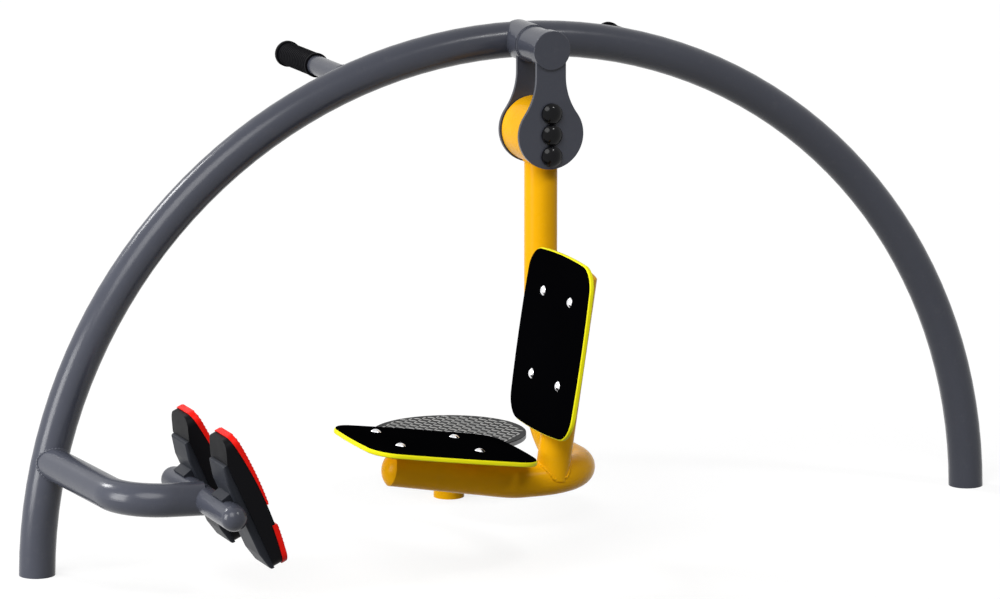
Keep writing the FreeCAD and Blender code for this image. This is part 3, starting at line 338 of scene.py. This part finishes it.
def lozenges():
    """The raised lens-shaped bars of a tread plate, each at right angles to its neighbours."""
    low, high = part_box("twister_tread")
    centre = (low + high) / 2
    reach = (high.x - low.x) / 2 - TREAD_MARGIN
    steps = int(reach / LOZENGE_PITCH) + 1
    shape = bmesh.new()
    for column in range(-steps, steps + 1):
        for row in range(-steps, steps + 1):
            x, y = column * LOZENGE_PITCH, row * LOZENGE_PITCH
            if math.hypot(x, y) > reach:
                continue
            turn = math.radians(45 if (column + row) % 2 else -45)
            levels = []
            for scale, height in LOZENGE_LEVELS:
                level = []
                for part in range(LOZENGE_SIDES):
                    swing = 2 * math.pi * part / LOZENGE_SIDES
                    a = LOZENGE_HALF_LENGTH * scale * math.cos(swing)
                    b = LOZENGE_HALF_WIDTH * scale * math.sin(swing)
                    level.append(shape.verts.new((
                        centre.x + x + a * math.cos(turn) - b * math.sin(turn),
                        centre.y + y + a * math.sin(turn) + b * math.cos(turn),
                        high.z + height)))
                levels.append(level)
            for under, over in zip(levels, levels[1:]):
                bridge(shape, under, over)
            shape.faces.new(levels[-1])
            shape.faces.new(levels[0][::-1])
    piece("disc_tread_lozenges", shape, "disc_metal", "turning_disc", WORN_BAR)


# the red treads' ribs

PEDAL_LEAN = math.radians(24.3)
RIB_PITCH = 0.0085
RIB_COUNT_EACH_WAY = 30
RIB_POINTS = 25
RIB_LEAST_POINTS = 8
RIB_SIDE_MARGIN = 0.004
RIB_SECTION = ((-0.0021, -0.0004), (-0.0015, 0.0007), (0, 0.0012), (0.0015, 0.0007), (0.0021, -0.0004))
FACING = 0.9  # cosine to the tread's outward direction, so that ribs keep off its edges


def tread_ribs():
    """Low round ribs across each red tread, following its curved face."""
    outward = Vector((math.cos(PEDAL_LEAN), 0, math.sin(PEDAL_LEAN)))
    upward = Vector((-math.sin(PEDAL_LEAN), 0, math.cos(PEDAL_LEAN)))
    for node in ("upper_tread_near", "lower_tread_near", "upper_tread_far", "lower_tread_far"):
        target = surface(node)
        low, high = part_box(node)
        middle = (low + high) / 2
        width = high.y - low.y - 2 * RIB_SIDE_MARGIN
        shape = bmesh.new()
        for number in range(-RIB_COUNT_EACH_WAY, RIB_COUNT_EACH_WAY + 1):
            line = []
            for part in range(RIB_POINTS):
                start = middle + upward * (number * RIB_PITCH) + outward * RUN_UP
                start.y = low.y + RIB_SIDE_MARGIN + width * part / (RIB_POINTS - 1)
                spot, normal = target.ray_cast(start, -outward, (high - low).length)[:2]
                if spot is not None and normal.dot(outward) > FACING:
                    line.append(spot)
            if len(line) < RIB_LEAST_POINTS:
                continue
            rings = [[shape.verts.new(spot + upward * a + outward * b) for a, b in RIB_SECTION]
                     for spot in line]
            for one, two in zip(rings, rings[1:]):
                bridge(shape, one, two)
            shape.faces.new(rings[0][::-1])
            shape.faces.new(rings[-1])
        piece(node + "_ribs", shape, "pedal_red", "frame")


# the hand grips' rings

GRIP_RADIUS = 0.024
GRIP_RING_PITCH = 0.0095
GRIP_START_MARGIN = 0.017
GRIP_END_MARGIN = 0.022
GRIP_STEPS = 48
GRIP_SECTION = ((-0.0022, -0.0004), (-0.0017, 0.0007), (-0.0006, 0.0012), (0.0006, 0.0012),
                (0.0017, 0.0007), (0.0022, -0.0004))


def grip_ribs():
    """Raised rings round each hand grip, for the fingers."""
    for word in ("left", "right"):
        low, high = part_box("grip_" + word)
        centre = (low + high) / 2
        first, last = low.y + GRIP_START_MARGIN, high.y - GRIP_END_MARGIN
        count = int((last - first) / GRIP_RING_PITCH)
        shape = bmesh.new()
        for number in range(count + 1):
            y = first + (last - first) * number / count
            loops = []
            for step in range(GRIP_STEPS):
                turn = 2 * math.pi * step / GRIP_STEPS
                loops.append([shape.verts.new((centre.x + (GRIP_RADIUS + rise) * math.cos(turn),
                                               y + along,
                                               centre.z + (GRIP_RADIUS + rise) * math.sin(turn)))
                              for along, rise in GRIP_SECTION])
            for step, loop in enumerate(loops):
                bridge(shape, loop, loops[(step + 1) % GRIP_STEPS])
        piece("grip_ribs_" + word, shape, "grip_rubber", "frame")


welds()
lozenges()
tread_ribs()
grip_ribs()


# floor, background and light

FLOOR_HALF = 30.0
FLOOR_GREY = 0.22
FLOOR_GLOW = 0.82
SKY_LIGHT = 0.10
SUN_DISTANCE = 6

SIDE_LAMP_PLACE = (-3.6, -0.25, 0.86)
SIDE_LAMP_TARGET = (-1.0, ARCH_Y, 0.62)
SIDE_LAMP_WIDTH = 1.3
SIDE_LAMP_HEIGHT = 1.6
SIDE_LAMP_WATTS = 80.0


def shown(tree):
    """One for rays that the camera sends and those reflected or let through, else nought."""
    path = tree.nodes.new("ShaderNodeLightPath")
    total = path.outputs["Is Camera Ray"]
    for name in ("Is Glossy Ray", "Is Transmission Ray"):
        either = tree.nodes.new("ShaderNodeMath")
        either.operation = "MAXIMUM"
        tree.links.new(total, either.inputs[0])
        tree.links.new(path.outputs[name], either.inputs[1])
        total = either.outputs["Value"]
    return total


def floor():
    """A pale floor that keeps the object's shadow and shows white to the camera."""
    mesh = bpy.data.meshes.new("floor")
    half = FLOOR_HALF
    corners = [(-half, -half, 0), (half, -half, 0), (half, half, 0), (-half, half, 0)]
    mesh.from_pydata(corners, [], [(0, 1, 2, 3)])
    thing = linked("floor", mesh)
    made, tree, shader = new_material("floor")
    shader.inputs["Base Color"].default_value = (FLOOR_GREY, FLOOR_GREY, FLOOR_GREY, 1)
    shader.inputs["Roughness"].default_value = 1.0
    shader.inputs["Specular IOR Level"].default_value = 0.0
    glow = add(tree, "ShaderNodeEmission", Color=(1, 1, 1, 1))
    tree.links.new(spread(tree, shown(tree), 0.0, FLOOR_GLOW, 0.0, 1.0), glow.inputs["Strength"])
    both = tree.nodes.new("ShaderNodeAddShader")
    tree.links.new(shader.outputs["BSDF"], both.inputs[0])
    tree.links.new(glow.outputs["Emission"], both.inputs[1])
    output = [node for node in tree.nodes if node.type == "OUTPUT_MATERIAL"][0]
    tree.links.new(both.outputs["Shader"], output.inputs["Surface"])
    thing.data.materials.append(made)


def sky():
    """A background that is white to the camera and in reflections, and lights little else."""
    world = bpy.data.worlds.new("world")
    bpy.context.scene.world = world
    world.use_nodes = True
    tree = world.node_tree
    tree.nodes.clear()
    output = tree.nodes.new("ShaderNodeOutputWorld")
    seen = add(tree, "ShaderNodeBackground", Color=(1, 1, 1, 1), Strength=1.0)
    lit = add(tree, "ShaderNodeBackground", Color=(1, 1, 1, 1), Strength=SKY_LIGHT)
    mix = tree.nodes.new("ShaderNodeMixShader")
    tree.links.new(shown(tree), mix.inputs["Fac"])
    tree.links.new(lit.outputs["Background"], mix.inputs[1])
    tree.links.new(seen.outputs["Background"], mix.inputs[2])
    tree.links.new(mix.outputs["Shader"], output.inputs["Surface"])


def sun(name, azimuth, elevation, strength, softness):
    """A broad, distant light from azimuth degrees round the object, 0 being its front, +90 its right."""
    data = bpy.data.lights.new(name, "SUN")
    data.energy = strength
    data.angle = math.radians(softness)
    turn, rise = math.radians(azimuth), math.radians(elevation)
    place = Vector((math.sin(turn) * math.cos(rise), -math.cos(turn) * math.cos(rise), math.sin(rise)))
    aim(linked(name, data), place * SUN_DISTANCE, (0, 0, 0))


def side_lamp():
    """A tall soft lamp on the pedals' side."""
    data = bpy.data.lights.new("side", "AREA")
    data.shape = "RECTANGLE"
    data.size = SIDE_LAMP_WIDTH
    data.size_y = SIDE_LAMP_HEIGHT
    data.energy = SIDE_LAMP_WATTS
    aim(linked("side", data), SIDE_LAMP_PLACE, SIDE_LAMP_TARGET)


floor()
sky()
sun("key", azimuth=-42, elevation=42, strength=1.95, softness=36)
sun("second", azimuth=32, elevation=48, strength=0.62, softness=9)
sun("rim", azimuth=-147, elevation=36, strength=1.1, softness=14)
side_lamp()

bpy.context.scene.view_settings.view_transform = "Standard"

bpy.context.view_layer.update()
